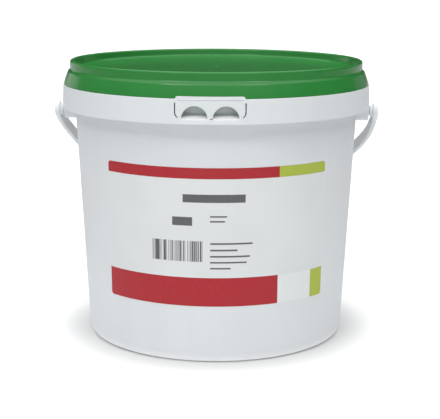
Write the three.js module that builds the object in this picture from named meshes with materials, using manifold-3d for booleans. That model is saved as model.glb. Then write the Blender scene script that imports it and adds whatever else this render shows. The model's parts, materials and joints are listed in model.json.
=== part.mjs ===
// A round plastic pail with a press-on lid, a carrying handle and two stuck-on labels.
// Millimetres, +Z up. The pail stands on Z = 0, its axis is the Z axis, the tear tab faces -Y
// and the handle turns about a line along X.
import * as THREE from 'three';
import { mergeVertices } from 'three/addons/utils/BufferGeometryUtils.js';
import Module from 'manifold-3d';

const wasm = await Module();
wasm.setup();

// Driving dimensions
const SIDES = 72; // facets round every turned part, so that neighbours stay parallel
const FIT = 0.3; // gap where two parts touch
const BREAK = 0.3; // small chamfer on a moulded edge

const BASE_RADIUS = 95.1; // wall radius carried down to the floor plane
const WALL_RADIUS = 103.8; // wall radius at the collar's lower edge
const WALL = 1.5;
const BASE_ROUND = 8; // round between the wall and the foot
const FOOT_RADIUS = 83.5; // inner edge of the foot ring
const FOOT_STEP = 2; // width of the slope from the foot ring to the raised middle
const FOOT_LIFT = 1.8; // how far the middle of the bottom is raised
const BOTTOM = 1.8; // thickness of the bottom

const COLLAR_LOW = 168.8;
const COLLAR_TOP = 185.5;
const COLLAR_RADIUS = 113; // at the lower edge
const COLLAR_TOP_RADIUS = 112.3;
const COLLAR_WALL = 1.15;
const SHELF = 170.6; // underside of the shelf that joins the collar to the wall
const SHELF_TOP = 172.1;
const SHELF_FILLET = 1.2;
const GUTTER_RADIUS = 108.6; // middle of the slope that rises from the shelf to the neck
const GUTTER_RISE = 1.8;
const NECK_RADIUS = 105.6; // outside of the wall that rises inside the collar
const BEAD_RADIUS = 107.8; // the bead that the lid's hook grips
const BEAD_HEIGHT = 190;
const RIM_TOP = 201.2;
const RIM_RADIUS = 106; // outside of the rim lip
const RIM_WALL = 1;
const RIM_LOW = 195; // height where the inside of the rim lip starts to lean in
const THROAT_RADIUS = 103.9; // inside of the neck behind the bead
const THROAT_HEIGHT = 187;

const LID_TOP = 202.7;
const RING_RADIUS = 107.2; // the raised ring round the lid
const RING_INNER = 103.8;
const RING_ROUND = 1.3;
const RING_SKIN = 0.9; // thin where the ring closes over the rim
const LID_PANEL = 197.2; // upper face of the sunk panel
const PANEL_RADIUS = 100.6; // where the panel turns up into the ring
const LID_WALL = 1.4;
const PLUG_RADIUS = 102; // inside of the wall that stands within the pail's rim
const PLUG_LOW = 187;
const SKIRT_LOW = 181.6; // lower end of the skirt, inside the collar
const SKIRT_RADIUS = 110.85;
const SKIRT_WALL = 1.2;
const FLANGE_RADIUS = 112; // the part of the skirt that rests on the collar, flush with it
const FLANGE_LOW = 185.8;
const FLANGE_LEAN = 1.2; // above 1, the flange leans in more towards the shoulder
const FLANGE_STEPS = 4;
const SHOULDER_RADIUS = 109.1; // top of the flange, where a slope leads in to the ring
const SHOULDER_HEIGHT = 194.2;
const SLOPE_RADIUS = 107.75;
const SLOPE_TOP = 196.7;
const HOOK_RADIUS = 107.3; // innermost point of the hook under the bead
const HOOK_LOW = 186;
const HOOK_HIGH = 187;

const TAB_HALF = 23.6; // half the tab's width, along the collar
const TAB_TOP = 187.6;
const TAB_CORNER = 2;
const TAB_INSET = 0.3; // how far the tab's upper lip stands back, in a notch in the lid's flange
const SLOT = 1; // width of the slots beside the tab
const SLOT_TOP = 183;
const SLOT_BEND = 176.6;
const SLOT_END = 173;
const SLOT_TURN = 2.1; // how far the slots curve in towards each other
const FINGER_RADIUS = 8.9; // half-moon finger holes
const FINGER_PLACE = 10.5;
const FINGER_LOW = 172.1;

const PIVOT_HEIGHT = 165;
const BOSS_RADIUS = 6.6;
const BOSS_FLARE = 1.5; // how much wider the boss gets at the shelf
const BOSS_FACE = 112.6; // distance of the boss's outer face from the axis
const SOCKET_RADIUS = 2.75;
const SOCKET_END = 104.9;
const PIN_RADIUS = 2.35;
const PIN_END = 105.4;
const WASHER_RADIUS = 3.95; // keeps the eye off the boss
const WASHER_FACE = 113.6;
const PIVOT_SIDES = 24;

const BAIL_HALF = 117.8; // centre of the strap at the pivots
const BAIL_DEPTH = 130.2; // from the pivot line to the centre of the strap at the grip
const STRAP_THICK = 3.6;
const STRAP_WIDTH = 8;
const STRAP_STEPS = 48;
const STRAP_ROUND = 1.2;
const EYE_RADIUS = 6;
const GRIP_SPAN = 42; // length of the grip, in degrees of the handle's ellipse
const GRIP_STEPS = 14;
const GRIP_THICK = 6.6;
const GRIP_WIDTH = 11;
const HANG = 36; // degrees that the resting handle hangs below level

const LABEL_ANGLE = 2.5; // degrees from the tab to the labels' middle
const LABEL_HALF = 84; // half the lower label's length round the wall
const LABEL_LOW = 41.5;
const LABEL_HIGH = 138.5;
const LABEL_CORNER = 3;
const LABEL_THICK = 0.35;
const COVER_HALF = 83.2;
const COVER_LOW = 62;
const COVER_HIGH = 131;
const COVER_CORNER = 1;

const COLOURS = {
  pail: 0xe6e9ea,
  lid: 0x3c8a45,
  handle: 0xdfe2e2,
  label: 0xae3f45,
  cover: 0xeceded,
};

const rad = THREE.MathUtils.degToRad;
const wallRadius = (z) => BASE_RADIUS + ((WALL_RADIUS - BASE_RADIUS) * z) / COLLAR_LOW;
const collarFace = (z) => COLLAR_RADIUS
  + ((COLLAR_TOP_RADIUS - COLLAR_RADIUS) * (z - COLLAR_LOW)) / (COLLAR_TOP - COLLAR_LOW);

// Solids

function toSolid(geometry) {
  const bare = geometry.clone();
  bare.deleteAttribute('normal');
  bare.deleteAttribute('uv');
  const merged = mergeVertices(bare, 1e-4);
  return new wasm.Manifold(new wasm.Mesh({
    numProp: 3,
    vertProperties: new Float32Array(merged.attributes.position.array),
    triVerts: new Uint32Array(merged.index.array),
  }));
}

function toMesh(name, solid, color, roughness) {
  const { numProp, vertProperties, triVerts } = solid.getMesh();
  const positions = new Float32Array((vertProperties.length / numProp) * 3);
  for (let i = 0; i < positions.length / 3; i += 1) {
    positions.set(vertProperties.subarray(i * numProp, i * numProp + 3), i * 3);
  }
  const geometry = new THREE.BufferGeometry();
  geometry.setAttribute('position', new THREE.BufferAttribute(positions, 3));
  geometry.setIndex(new THREE.BufferAttribute(new Uint32Array(triVerts), 1));
  geometry.computeVertexNormals();
  const mesh = new THREE.Mesh(geometry, new THREE.MeshStandardMaterial({ color, roughness }));
  mesh.name = name;
  return mesh;
}

// A turned solid from [radius, height] points, listed so that the outside is run upwards.
function turned(points) {
  const profile = points.map(([r, z]) => new THREE.Vector2(r, z));
  const geometry = new THREE.LatheGeometry(profile, SIDES);
  geometry.rotateX(Math.PI / 2);
  return toSolid(geometry);
}

// Points of a round corner in a profile, from one angle to another about a centre.
function arc(centreR, centreZ, radius, from, to, steps) {
  const points = [];
  for (let i = 0; i <= steps; i += 1) {
    const a = rad(from + ((to - from) * i) / steps);
    points.push([centreR + radius * Math.cos(a), centreZ + radius * Math.sin(a)]);
  }
  return points;
}

// A shape drawn in X and Z, pushed through the front of the pail from one Y to another.
function pushedAlongY(shape, yFront, yBack) {
  const geometry = new THREE.ExtrudeGeometry(shape, {
    depth: yBack - yFront,
    bevelEnabled: false,
    curveSegments: 8,
  });
  geometry.rotateX(Math.PI / 2);
  geometry.translate(0, yBack, 0);
  return toSolid(geometry);
}

function bar(radius, x0, x1, sides) {
  const geometry = new THREE.CylinderGeometry(radius, radius, Math.abs(x1 - x0), sides);
  geometry.rotateZ(Math.PI / 2);
  geometry.translate((x0 + x1) / 2, 0, 0);
  return toSolid(geometry);
}

// The pail

function pailShell() {
  const lean = (WALL_RADIUS - BASE_RADIUS) / COLLAR_LOW;
  const roundR = BASE_RADIUS - BASE_ROUND + lean * BASE_ROUND;
  const inside = (z) => wallRadius(z) - WALL;
  const floor = FOOT_LIFT + BOTTOM;
  return turned([
    [0, FOOT_LIFT],
    [FOOT_RADIUS - FOOT_STEP, FOOT_LIFT],
    [FOOT_RADIUS, 0],
    ...arc(roundR, BASE_ROUND, BASE_ROUND, -90, 0, 5),
    [wallRadius(SHELF - SHELF_FILLET), SHELF - SHELF_FILLET],
    [wallRadius(SHELF) + SHELF_FILLET, SHELF],
    [COLLAR_RADIUS - COLLAR_WALL, SHELF],
    [COLLAR_RADIUS - COLLAR_WALL, COLLAR_LOW],
    [COLLAR_RADIUS, COLLAR_LOW],
    [COLLAR_TOP_RADIUS, COLLAR_TOP - BREAK],
    [COLLAR_TOP_RADIUS - BREAK, COLLAR_TOP],
    [COLLAR_TOP_RADIUS - COLLAR_WALL, COLLAR_TOP],
    [COLLAR_RADIUS - COLLAR_WALL - BREAK, SHELF_TOP],
    [GUTTER_RADIUS, SHELF_TOP + GUTTER_RISE],
    [NECK_RADIUS + BREAK, SHELF_TOP + GUTTER_RISE + 2 * BREAK],
    [NECK_RADIUS, BEAD_HEIGHT - 2.8],
    [BEAD_RADIUS, BEAD_HEIGHT - 1],
    [BEAD_RADIUS, BEAD_HEIGHT + 0.6],
    [RIM_RADIUS, BEAD_HEIGHT + 4],
    [RIM_RADIUS, RIM_TOP - BREAK],
    [RIM_RADIUS - BREAK, RIM_TOP],
    [RIM_RADIUS - RIM_WALL + BREAK, RIM_TOP],
    [RIM_RADIUS - RIM_WALL, RIM_TOP - BREAK],
    [RIM_RADIUS - RIM_WALL, RIM_LOW],
    [THROAT_RADIUS, THROAT_HEIGHT],
    [inside(SHELF), SHELF],
    [inside(BASE_ROUND), BASE_ROUND],
    [inside(BASE_ROUND) - 2, floor + 1.6],
    [inside(BASE_ROUND) - 6, floor],
    [0, floor],
  ]);
}

// The thin ring that the tab's raised lip is cut from.
function lipRing() {
  const low = COLLAR_TOP - 1;
  const inner = COLLAR_TOP_RADIUS - COLLAR_WALL;
  const outer = COLLAR_TOP_RADIUS - TAB_INSET;
  return turned([
    [inner, low],
    [outer, low],
    [outer, TAB_TOP - BREAK],
    [outer - BREAK, TAB_TOP],
    [inner, TAB_TOP],
    [inner, low],
  ]);
}

// The ring that the tab's cuts stay within, so that they stop short of the neck.
function cutRing() {
  const inner = COLLAR_RADIUS - 3.2;
  const outer = COLLAR_RADIUS + 3;
  const low = SHELF_TOP - 0.4;
  return turned([[inner, low], [outer, low], [outer, TAB_TOP], [inner, TAB_TOP], [inner, low]]);
}

// The outline of the tab's lip, pushed through the front of the pail and grown by a gap.
function lipBlock(gap) {
  const shape = new THREE.Shape();
  const half = TAB_HALF + gap;
  const top = TAB_TOP + gap;
  const corner = TAB_CORNER + gap;
  shape.moveTo(-half, COLLAR_TOP - 1);
  shape.lineTo(half, COLLAR_TOP - 1);
  shape.lineTo(half, top - corner);
  shape.absarc(half - corner, top - corner, corner, 0, Math.PI / 2, false);
  shape.lineTo(corner - half, top);
  shape.absarc(corner - half, top - corner, corner, Math.PI / 2, Math.PI, false);
  shape.closePath();
  return pushedAlongY(shape, -COLLAR_RADIUS - 3, -COLLAR_RADIUS + 10);
}

function slotShape(side) {
  const outer = side * (TAB_HALF + SLOT / 2);
  const inner = side * (TAB_HALF - SLOT / 2);
  const turn = side * SLOT_TURN;
  const shape = new THREE.Shape();
  shape.moveTo(outer, SLOT_TOP);
  shape.lineTo(outer, SLOT_BEND);
  shape.quadraticCurveTo(outer, SLOT_END + 1.4, outer - turn, SLOT_END - 0.2);
  shape.lineTo(inner - turn, SLOT_END + 0.3);
  shape.quadraticCurveTo(inner, SLOT_END + 1.8, inner, SLOT_BEND);
  shape.lineTo(inner, SLOT_TOP);
  shape.closePath();
  return shape;
}

function fingerShape(side) {
  const shape = new THREE.Shape();
  const middle = side * FINGER_PLACE;
  shape.moveTo(middle - FINGER_RADIUS, FINGER_LOW);
  shape.lineTo(middle + FINGER_RADIUS, FINGER_LOW);
  shape.absarc(middle, FINGER_LOW, FINGER_RADIUS, 0, Math.PI, false);
  return shape;
}

function tabCuts() {
  return [-1, 1].flatMap((side) => [slotShape(side), fingerShape(side)])
    .map((shape) => pushedAlongY(shape, -COLLAR_RADIUS - 3, -COLLAR_RADIUS + 9))
    .reduce((sum, piece) => sum.add(piece))
    .intersect(cutRing());
}

function bossShape() {
  const shape = new THREE.Shape();
  const top = SHELF + 0.6 - PIVOT_HEIGHT;
  shape.moveTo(BOSS_RADIUS + BOSS_FLARE, top);
  shape.lineTo(-BOSS_RADIUS - BOSS_FLARE, top);
  shape.lineTo(-BOSS_RADIUS, 0);
  shape.absarc(0, 0, BOSS_RADIUS, Math.PI, 2 * Math.PI, false);
  shape.closePath();
  return shape;
}

// A boss under the collar on each side, with a blind socket for the handle's pin.
function boss(side) {
  const length = BOSS_FACE - WALL_RADIUS + WALL / 2;
  const geometry = new THREE.ExtrudeGeometry(bossShape(), {
    depth: length,
    bevelEnabled: false,
    curveSegments: 6,
  });
  geometry.rotateX(Math.PI / 2);
  geometry.rotateZ(Math.PI / 2);
  geometry.translate(side > 0 ? BOSS_FACE - length : -BOSS_FACE, 0, PIVOT_HEIGHT);
  const socket = bar(SOCKET_RADIUS, side * SOCKET_END, side * (BOSS_FACE + 2), PIVOT_SIDES);
  return toSolid(geometry).subtract(socket.translate([0, 0, PIVOT_HEIGHT]));
}

function tub() {
  const lip = lipRing().intersect(lipBlock(0));
  return pailShell().add(lip).subtract(tabCuts()).add(boss(1)).add(boss(-1));
}

// The lid

function flangeFace() {
  const points = [];
  for (let i = 0; i <= FLANGE_STEPS; i += 1) {
    const t = i / FLANGE_STEPS;
    points.push([
      THREE.MathUtils.lerp(FLANGE_RADIUS, SHOULDER_RADIUS, t ** FLANGE_LEAN),
      THREE.MathUtils.lerp(FLANGE_LOW + BREAK, SHOULDER_HEIGHT, t),
    ]);
  }
  return points;
}

function lidBody() {
  return turned([
    [0, LID_PANEL - LID_WALL],
    [PLUG_RADIUS, LID_PANEL - LID_WALL],
    [PLUG_RADIUS, PLUG_LOW + 1],
    [PLUG_RADIUS + 0.4, PLUG_LOW],
    [PLUG_RADIUS + 1.1, PLUG_LOW],
    [PLUG_RADIUS + 1.4, PLUG_LOW + 1.5],
    [RING_INNER + RING_SKIN, RIM_LOW + 1],
    [RING_INNER + RING_SKIN, RIM_TOP + FIT],
    [RING_RADIUS - RING_SKIN, RIM_TOP + FIT],
    [RING_RADIUS - RING_SKIN, RIM_LOW + 2],
    [BEAD_RADIUS + 0.6, BEAD_HEIGHT + 2.8],
    [BEAD_RADIUS + 1.1, BEAD_HEIGHT - 0.4],
    [HOOK_RADIUS, HOOK_HIGH],
    [HOOK_RADIUS, HOOK_LOW],
    [SKIRT_RADIUS - SKIRT_WALL, HOOK_LOW - 1.4],
    [SKIRT_RADIUS - SKIRT_WALL, SKIRT_LOW],
    [SKIRT_RADIUS, SKIRT_LOW],
    [SKIRT_RADIUS, FLANGE_LOW],
    [FLANGE_RADIUS - BREAK, FLANGE_LOW],
    ...flangeFace(),
    [SLOPE_RADIUS, SLOPE_TOP],
    [RING_RADIUS, SLOPE_TOP + 1.2],
    [RING_RADIUS, LID_TOP - RING_ROUND],
    [RING_RADIUS - 0.45, LID_TOP - 0.4],
    [RING_RADIUS - RING_ROUND, LID_TOP],
    [RING_INNER + RING_ROUND, LID_TOP],
    [RING_INNER + 0.3, LID_TOP - 0.6],
    [PANEL_RADIUS + 2, LID_PANEL + 2],
    [PANEL_RADIUS + 1.2, LID_PANEL + 0.6],
    [PANEL_RADIUS, LID_PANEL],
    [0, LID_PANEL],
  ]);
}

// The flange has a notch that the tab's lip stands in.
function lid() {
  const inner = SKIRT_RADIUS;
  const outer = FLANGE_RADIUS + 1;
  const low = COLLAR_TOP - 0.5;
  const high = TAB_TOP + 2;
  const ring = turned([[inner, low], [outer, low], [outer, high], [inner, high], [inner, low]]);
  return lidBody().subtract(ring.intersect(lipBlock(FIT)));
}

// The handle

class BailCurve extends THREE.Curve {
  constructor(fromAngle, toAngle) {
    super();
    this.fromAngle = rad(fromAngle);
    this.toAngle = rad(toAngle);
  }

  getPoint(t, target = new THREE.Vector3()) {
    const a = this.fromAngle + (this.toAngle - this.fromAngle) * t;
    return target.set(BAIL_HALF * Math.cos(a), BAIL_DEPTH * Math.sin(a), 0);
  }
}

// A strap section: x runs across the strap, y through its thickness, outwards below zero.
function strapShape(width, thick, shift) {
  const w = width / 2;
  const t = thick / 2;
  const r = STRAP_ROUND;
  const shape = new THREE.Shape();
  shape.moveTo(-w, -t + r + shift);
  shape.quadraticCurveTo(-w, -t + shift, -w + r, -t + shift);
  shape.lineTo(w - r, -t + shift);
  shape.quadraticCurveTo(w, -t + shift, w, -t + r + shift);
  shape.lineTo(w, t - r + shift);
  shape.quadraticCurveTo(w, t + shift, w - r, t + shift);
  shape.lineTo(-w + r, t + shift);
  shape.quadraticCurveTo(-w, t + shift, -w, t - r + shift);
  shape.closePath();
  return shape;
}

function strap(width, thick, shift, from, to, steps) {
  const geometry = new THREE.ExtrudeGeometry(strapShape(width, thick, shift), {
    steps,
    curveSegments: 2,
    extrudePath: new BailCurve(from, to),
  });
  return toSolid(geometry);
}

function eye(side) {
  const inner = side * (BAIL_HALF - STRAP_THICK / 2);
  const outer = side * (BAIL_HALF + STRAP_THICK / 2);
  const pin = bar(PIN_RADIUS, side * PIN_END, side * BAIL_HALF, PIVOT_SIDES);
  const washer = bar(WASHER_RADIUS, side * WASHER_FACE, side * BAIL_HALF, PIVOT_SIDES);
  return bar(EYE_RADIUS, inner, outer, PIVOT_SIDES).add(pin).add(washer);
}

function handle() {
  const outwards = (STRAP_THICK - GRIP_THICK) / 2;
  const from = 90 - GRIP_SPAN / 2;
  const to = 90 + GRIP_SPAN / 2;
  return strap(STRAP_WIDTH, STRAP_THICK, 0, 0, 180, STRAP_STEPS)
    .add(strap(GRIP_WIDTH, GRIP_THICK, outwards, from, to, GRIP_STEPS))
    .add(eye(1))
    .add(eye(-1));
}

// The labels: curved sheets cut from thin cones parallel to the wall

function labelCone(lift, low, high) {
  const inner = (z) => wallRadius(z) + lift;
  return turned([
    [inner(low), low],
    [inner(low) + LABEL_THICK, low],
    [inner(high) + LABEL_THICK, high],
    [inner(high), high],
    [inner(low), low],
  ]);
}

function sheet(lift, low, high, half, corner) {
  const edge = (z) => wallRadius(z) * Math.sin(half / wallRadius(z));
  const shape = new THREE.Shape();
  shape.moveTo(-edge(low) + corner, low);
  shape.lineTo(edge(low) - corner, low);
  shape.quadraticCurveTo(edge(low), low, edge(low), low + corner);
  shape.lineTo(edge(high), high - corner);
  shape.quadraticCurveTo(edge(high), high, edge(high) - corner, high);
  shape.lineTo(-edge(high) + corner, high);
  shape.quadraticCurveTo(-edge(high), high, -edge(high), high - corner);
  shape.lineTo(-edge(low), low + corner);
  shape.quadraticCurveTo(-edge(low), low, -edge(low) + corner, low);
  const outline = pushedAlongY(shape, -BASE_RADIUS - 20, -30).rotate([0, 0, LABEL_ANGLE]);
  return labelCone(lift, low - 1, high + 1).intersect(outline);
}

function baseLabel() {
  return sheet(FIT, LABEL_LOW, LABEL_HIGH, LABEL_HALF, LABEL_CORNER);
}

function coverLabel() {
  return sheet(2 * FIT + LABEL_THICK, COVER_LOW, COVER_HIGH, COVER_HALF, COVER_CORNER);
}

const pail = new THREE.Group();
pail.add(toMesh('tub', tub(), COLOURS.pail, 0.42));
pail.add(toMesh('lid', lid(), COLOURS.lid, 0.4));
pail.add(toMesh('base_label', baseLabel(), COLOURS.label, 0.5));
pail.add(toMesh('cover_label', coverLabel(), COLOURS.cover, 0.6));

const bail = toMesh('handle', handle(), COLOURS.handle, 0.45);
bail.position.set(0, 0, PIVOT_HEIGHT);
bail.rotation.x = -rad(HANG);
pail.add(bail);

export default pail;
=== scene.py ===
import json
import math

import bmesh
import bpy
from mathutils import Euler, Matrix, Vector

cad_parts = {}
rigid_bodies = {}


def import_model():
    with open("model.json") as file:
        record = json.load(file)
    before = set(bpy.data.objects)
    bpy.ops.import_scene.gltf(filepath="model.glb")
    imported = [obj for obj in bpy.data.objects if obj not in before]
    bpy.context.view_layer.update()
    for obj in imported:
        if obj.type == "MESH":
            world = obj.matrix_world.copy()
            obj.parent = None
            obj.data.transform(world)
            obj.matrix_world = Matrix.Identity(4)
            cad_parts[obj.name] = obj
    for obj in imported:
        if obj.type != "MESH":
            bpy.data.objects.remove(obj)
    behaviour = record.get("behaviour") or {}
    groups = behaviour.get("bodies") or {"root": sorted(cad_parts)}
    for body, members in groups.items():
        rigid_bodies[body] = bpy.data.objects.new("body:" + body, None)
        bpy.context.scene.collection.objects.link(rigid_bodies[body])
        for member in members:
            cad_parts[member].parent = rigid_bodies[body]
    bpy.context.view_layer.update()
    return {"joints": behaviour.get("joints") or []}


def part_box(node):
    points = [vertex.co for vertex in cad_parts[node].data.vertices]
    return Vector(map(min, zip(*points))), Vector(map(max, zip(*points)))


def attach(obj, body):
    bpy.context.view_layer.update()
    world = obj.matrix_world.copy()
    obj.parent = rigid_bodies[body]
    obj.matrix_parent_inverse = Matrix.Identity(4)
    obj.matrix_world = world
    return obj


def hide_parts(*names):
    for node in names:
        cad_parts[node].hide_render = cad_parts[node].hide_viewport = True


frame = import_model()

mm = 0.001
pailTurn = 2.0  # degrees from the camera's side of the pail to the tear tab

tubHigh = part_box("tub")[1]
lidLow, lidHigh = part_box("lid")
pivotHeight = frame["joints"][0]["pos_m"][2]
collarRadius = tubHigh.y
print("frame loaded: pail", round(collarRadius * 2000), "mm across, lid top at", round(lidHigh.z * 1000, 1))


def newObject(name, data):
    thing = bpy.data.objects.new(name, data)
    bpy.context.scene.collection.objects.link(thing)
    return thing


# Camera and lights

cameraSet = {
    "distance": 889.8 * mm,  # from the pail's middle
    "height": 274.3 * mm,
    "pitch": 11.745,  # degrees below level
    "heading": -0.206,
    "roll": 0.264,
    "lens": 98.29,
    "sensor": 36,
    "farthest": 100,
}

cameraData = bpy.data.cameras.new("photoCamera")
cameraData.lens = cameraSet["lens"]
cameraData.sensor_width = cameraSet["sensor"]
cameraData.clip_end = cameraSet["farthest"]
camera = newObject("photoCamera", cameraData)
sideways = math.radians(pailTurn)
camera.location = (
    cameraSet["distance"] * math.sin(sideways),
    -cameraSet["distance"] * math.cos(sideways),
    cameraSet["height"],
)
aim = Euler((math.radians(90 - cameraSet["pitch"]), 0, math.radians(pailTurn + cameraSet["heading"])))
rolled = aim.to_matrix() @ Matrix.Rotation(math.radians(cameraSet["roll"]), 3, "Z")
camera.rotation_euler = rolled.to_euler()
bpy.context.scene.camera = camera


# Shader sums written as plain expressions

class Wire:
    def __init__(self, paint, socket):
        self.paint = paint
        self.socket = socket

    def sums(self, operation, first, second):
        return self.paint.add("ShaderNodeMath", {"operation": operation}, {0: first, 1: second})

    def __add__(self, other):
        return self.sums("ADD", self, other)

    def __radd__(self, other):
        return self.sums("ADD", other, self)

    def __sub__(self, other):
        return self.sums("SUBTRACT", self, other)

    def __rsub__(self, other):
        return self.sums("SUBTRACT", other, self)

    def __mul__(self, other):
        return self.sums("MULTIPLY", self, other)

    def __rmul__(self, other):
        return self.sums("MULTIPLY", other, self)

    def __truediv__(self, other):
        return self.sums("DIVIDE", self, other)

    def __gt__(self, other):
        return self.sums("GREATER_THAN", self, other)

    def __lt__(self, other):
        return self.sums("LESS_THAN", self, other)


class Paint:
    def __init__(self, owner):
        if isinstance(owner, str):
            owner = bpy.data.materials.new(owner)
            owner.use_nodes = True
        self.owner = owner
        self.tree = owner.node_tree
        self.tree.nodes.clear()

    # any node: its type, its settings, then the values or links of its sockets
    def add(self, kind, settings=None, sockets=None, out=0):
        node = self.tree.nodes.new(kind)
        for key, value in (settings or {}).items():
            setattr(node, key, value)
        for key, value in (sockets or {}).items():
            if isinstance(value, Wire):
                self.tree.links.new(value.socket, node.inputs[key])
            else:
                node.inputs[key].default_value = value
        return Wire(self, node.outputs[out]) if len(node.outputs) else None

    def mixed(self, factor, first, second):
        sockets = {0: factor, 6: first, 7: second}
        return self.add("ShaderNodeMix", {"data_type": "RGBA"}, sockets, 2)

    def clamped(self, value):
        return self.add("ShaderNodeClamp", {}, {0: value})

    # 0 below low, 1 above high, smooth between
    def ramped(self, value, low, high):
        settings = {"interpolation_type": "SMOOTHSTEP"}
        return self.add("ShaderNodeMapRange", settings, {0: value, 1: low, 2: high})

    def stretched(self, scale=(1, 1, 1)):
        place = self.add("ShaderNodeTexCoord", {}, {}, "Object")
        return self.add("ShaderNodeMapping", {}, {"Vector": place, "Scale": scale})

    def axis(self, vector, name):
        return self.add("ShaderNodeSeparateXYZ", {}, {0: vector}, name)

    def length(self, vector):
        return self.add("ShaderNodeVectorMath", {"operation": "LENGTH"}, {0: vector}, "Value")

    def cloud(self, vector, scale, detail, rough):
        sockets = {"Vector": vector, "Scale": scale, "Detail": detail, "Roughness": rough}
        return self.add("ShaderNodeTexNoise", {}, sockets, "Fac")

    def bumped(self, height, strength, distance):
        sockets = {"Strength": strength, "Distance": distance, "Height": height}
        return self.add("ShaderNodeBump", {}, sockets)

    def finished(self, sockets):
        surface = self.add("ShaderNodeBsdfPrincipled", {}, sockets)
        self.add("ShaderNodeOutputMaterial", {}, {"Surface": surface})
        return self.owner


studioSet = {
    "zenith": 2.18,
    "frontSky": 0.53,
    "leftSky": 0.19,
    "rightSky": 0.0,
    "backSky": 0.03,
    "sideways": 0.9,  # how far out to the sides the sky keeps changing
    "overhead": (0.5, 0.92),  # where the bright sky overhead starts, and where it is full
    "softboxes": [
        # azimuth from the camera's side, height, distance, width, tall, watts
        (-36, 1.78, 1.7, 0.7, 0.075, 4.8),
        (37, 1.78, 1.7, 0.7, 0.075, 2.7),
        (0, 1.7, 1.25, 2.2, 0.3, 5.7),
        (137, 0.35, 1.7, 0.8, 0.35, 0.25),
        (-137, 0.35, 1.7, 0.8, 0.35, 0.6),
        (180, 1.6, 1.5, 1.6, 0.3, 2.4),
    ],
}


def softbox(name, place, target, width, tall, watts):
    data = bpy.data.lights.new(name, "AREA")
    data.shape = "RECTANGLE"
    data.size, data.size_y = width, tall
    data.energy = watts
    light = newObject(name, data)
    light.location = place
    light.rotation_euler = (Vector(target) - Vector(place)).to_track_quat("-Z", "Y").to_euler()


# a soft white room, brightest overhead and dimmer at the sides
def softRoom():
    s = studioSet
    world = bpy.data.worlds.new("softRoom")
    world.use_nodes = True
    paint = Paint(world)
    way = paint.add("ShaderNodeTexCoord", {}, {}, "Generated")
    away = paint.axis(way, "Y")
    leftToRight = paint.ramped(paint.axis(way, "X"), -s["sideways"], s["sideways"])
    side = s["leftSky"] + leftToRight * (s["rightSky"] - s["leftSky"])
    front = paint.ramped(-1 * away, 0.0, 1.0)
    back = paint.ramped(away, 0.0, 1.0)
    level = side * (1 - front - back) + front * s["frontSky"] + back * s["backSky"]
    high = paint.ramped(paint.axis(way, "Z"), *s["overhead"])
    level = level * (1 - high) + high * s["zenith"]
    seen = paint.add("ShaderNodeLightPath", {}, {}, "Is Camera Ray")
    level = level * (1 - seen) + seen
    sky = paint.add("ShaderNodeBackground", {}, {"Color": (1, 1, 1, 1), "Strength": level})
    paint.add("ShaderNodeOutputWorld", {}, {"Surface": sky})
    bpy.context.scene.world = world


def buildStudio():
    softRoom()
    middle = (0, 0, lidHigh.z * 0.5)
    for index, (azimuth, height, reach, width, tall, watts) in enumerate(studioSet["softboxes"]):
        turn = math.radians(azimuth + pailTurn)
        place = (reach * math.sin(turn), -reach * math.cos(turn), height)
        softbox("softbox" + str(index), place, middle, width, tall, watts)
    scene = bpy.context.scene
    scene.view_settings.view_transform = "Standard"
    scene.view_settings.look = "None"


buildStudio()
print("camera and lights placed")


# Mesh helpers

cornerSet = {
    "longest": 0.46,  # most of a side that a round corner may take
    "hold": 1.5,  # a point this many reaches from the corner keeps the side flat
    "room": 0.48,  # it is left out where it would pass this share of the side
    "sharpAngle": 38,  # degrees: a sharper edge than this isn't smoothed over
    "onAxis": 1e-7,
}


# corners are (across, up, reach): reach is how far along each side a round corner starts
def softened(corners, steps=5):
    c = cornerSet
    points = []
    for index, (across, up, reach) in enumerate(corners):
        here = Vector((across, up))
        if reach == 0 or index in (0, len(corners) - 1):
            points.append(here)
            continue
        before = Vector(corners[index - 1][:2]) - here
        after = Vector(corners[index + 1][:2]) - here
        reach = min(reach, c["longest"] * before.length, c["longest"] * after.length)
        start = here + before.normalized() * reach
        stop = here + after.normalized() * reach
        weight = math.sin(before.angle(after) / 2)
        hold = reach * c["hold"]
        if hold < c["room"] * before.length:
            points.append(here + before.normalized() * hold)
        for step in range(steps + 1):
            t = step / steps
            first, middle, last = (1 - t) ** 2, 2 * weight * t * (1 - t), t ** 2
            points.append((start * first + here * middle + stop * last) / (first + middle + last))
        if hold < c["room"] * after.length:
            points.append(here + after.normalized() * hold)
    return points


# half the width of a sheet with round corners, at an inset from its upper or lower edge
def roundedReach(half, corner, inset):
    return half - corner + math.sqrt(max(0.0, corner ** 2 - (corner - inset) ** 2))


def evenAngles(count):
    return [2 * math.pi * step / count for step in range(count)]


# faces from each ring to the next; a ring of one point is a pole
def joinRings(build, rings):
    for lower, upper in zip(rings, rings[1:]):
        count = max(len(lower), len(upper))
        for i in range(count):
            j = (i + 1) % count
            if len(lower) == 1:
                build.faces.new((lower[0], upper[j], upper[i]))
            elif len(upper) == 1:
                build.faces.new((lower[i], lower[j], upper[0]))
            else:
                build.faces.new((lower[i], lower[j], upper[j], upper[i]))


# a solid turned about Z from a profile that starts and ends on the axis
def turned(profile, angles):
    build = bmesh.new()
    rings = []
    for point in profile:
        if point.x < cornerSet["onAxis"]:
            rings.append([build.verts.new((0, 0, point.y))])
        else:
            around = [(point.x * math.sin(a), -point.x * math.cos(a), point.y) for a in angles]
            rings.append([build.verts.new(place) for place in around])
    joinRings(build, rings)
    return build


# closed loops of equal length joined in a row and capped at both ends
def lofted(loops):
    build = bmesh.new()
    rings = [[build.verts.new(point) for point in loop] for loop in loops]
    joinRings(build, rings)
    build.faces.new(list(reversed(rings[0])))
    build.faces.new(rings[-1])
    bmesh.ops.recalc_face_normals(build, faces=build.faces)
    return build


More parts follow.
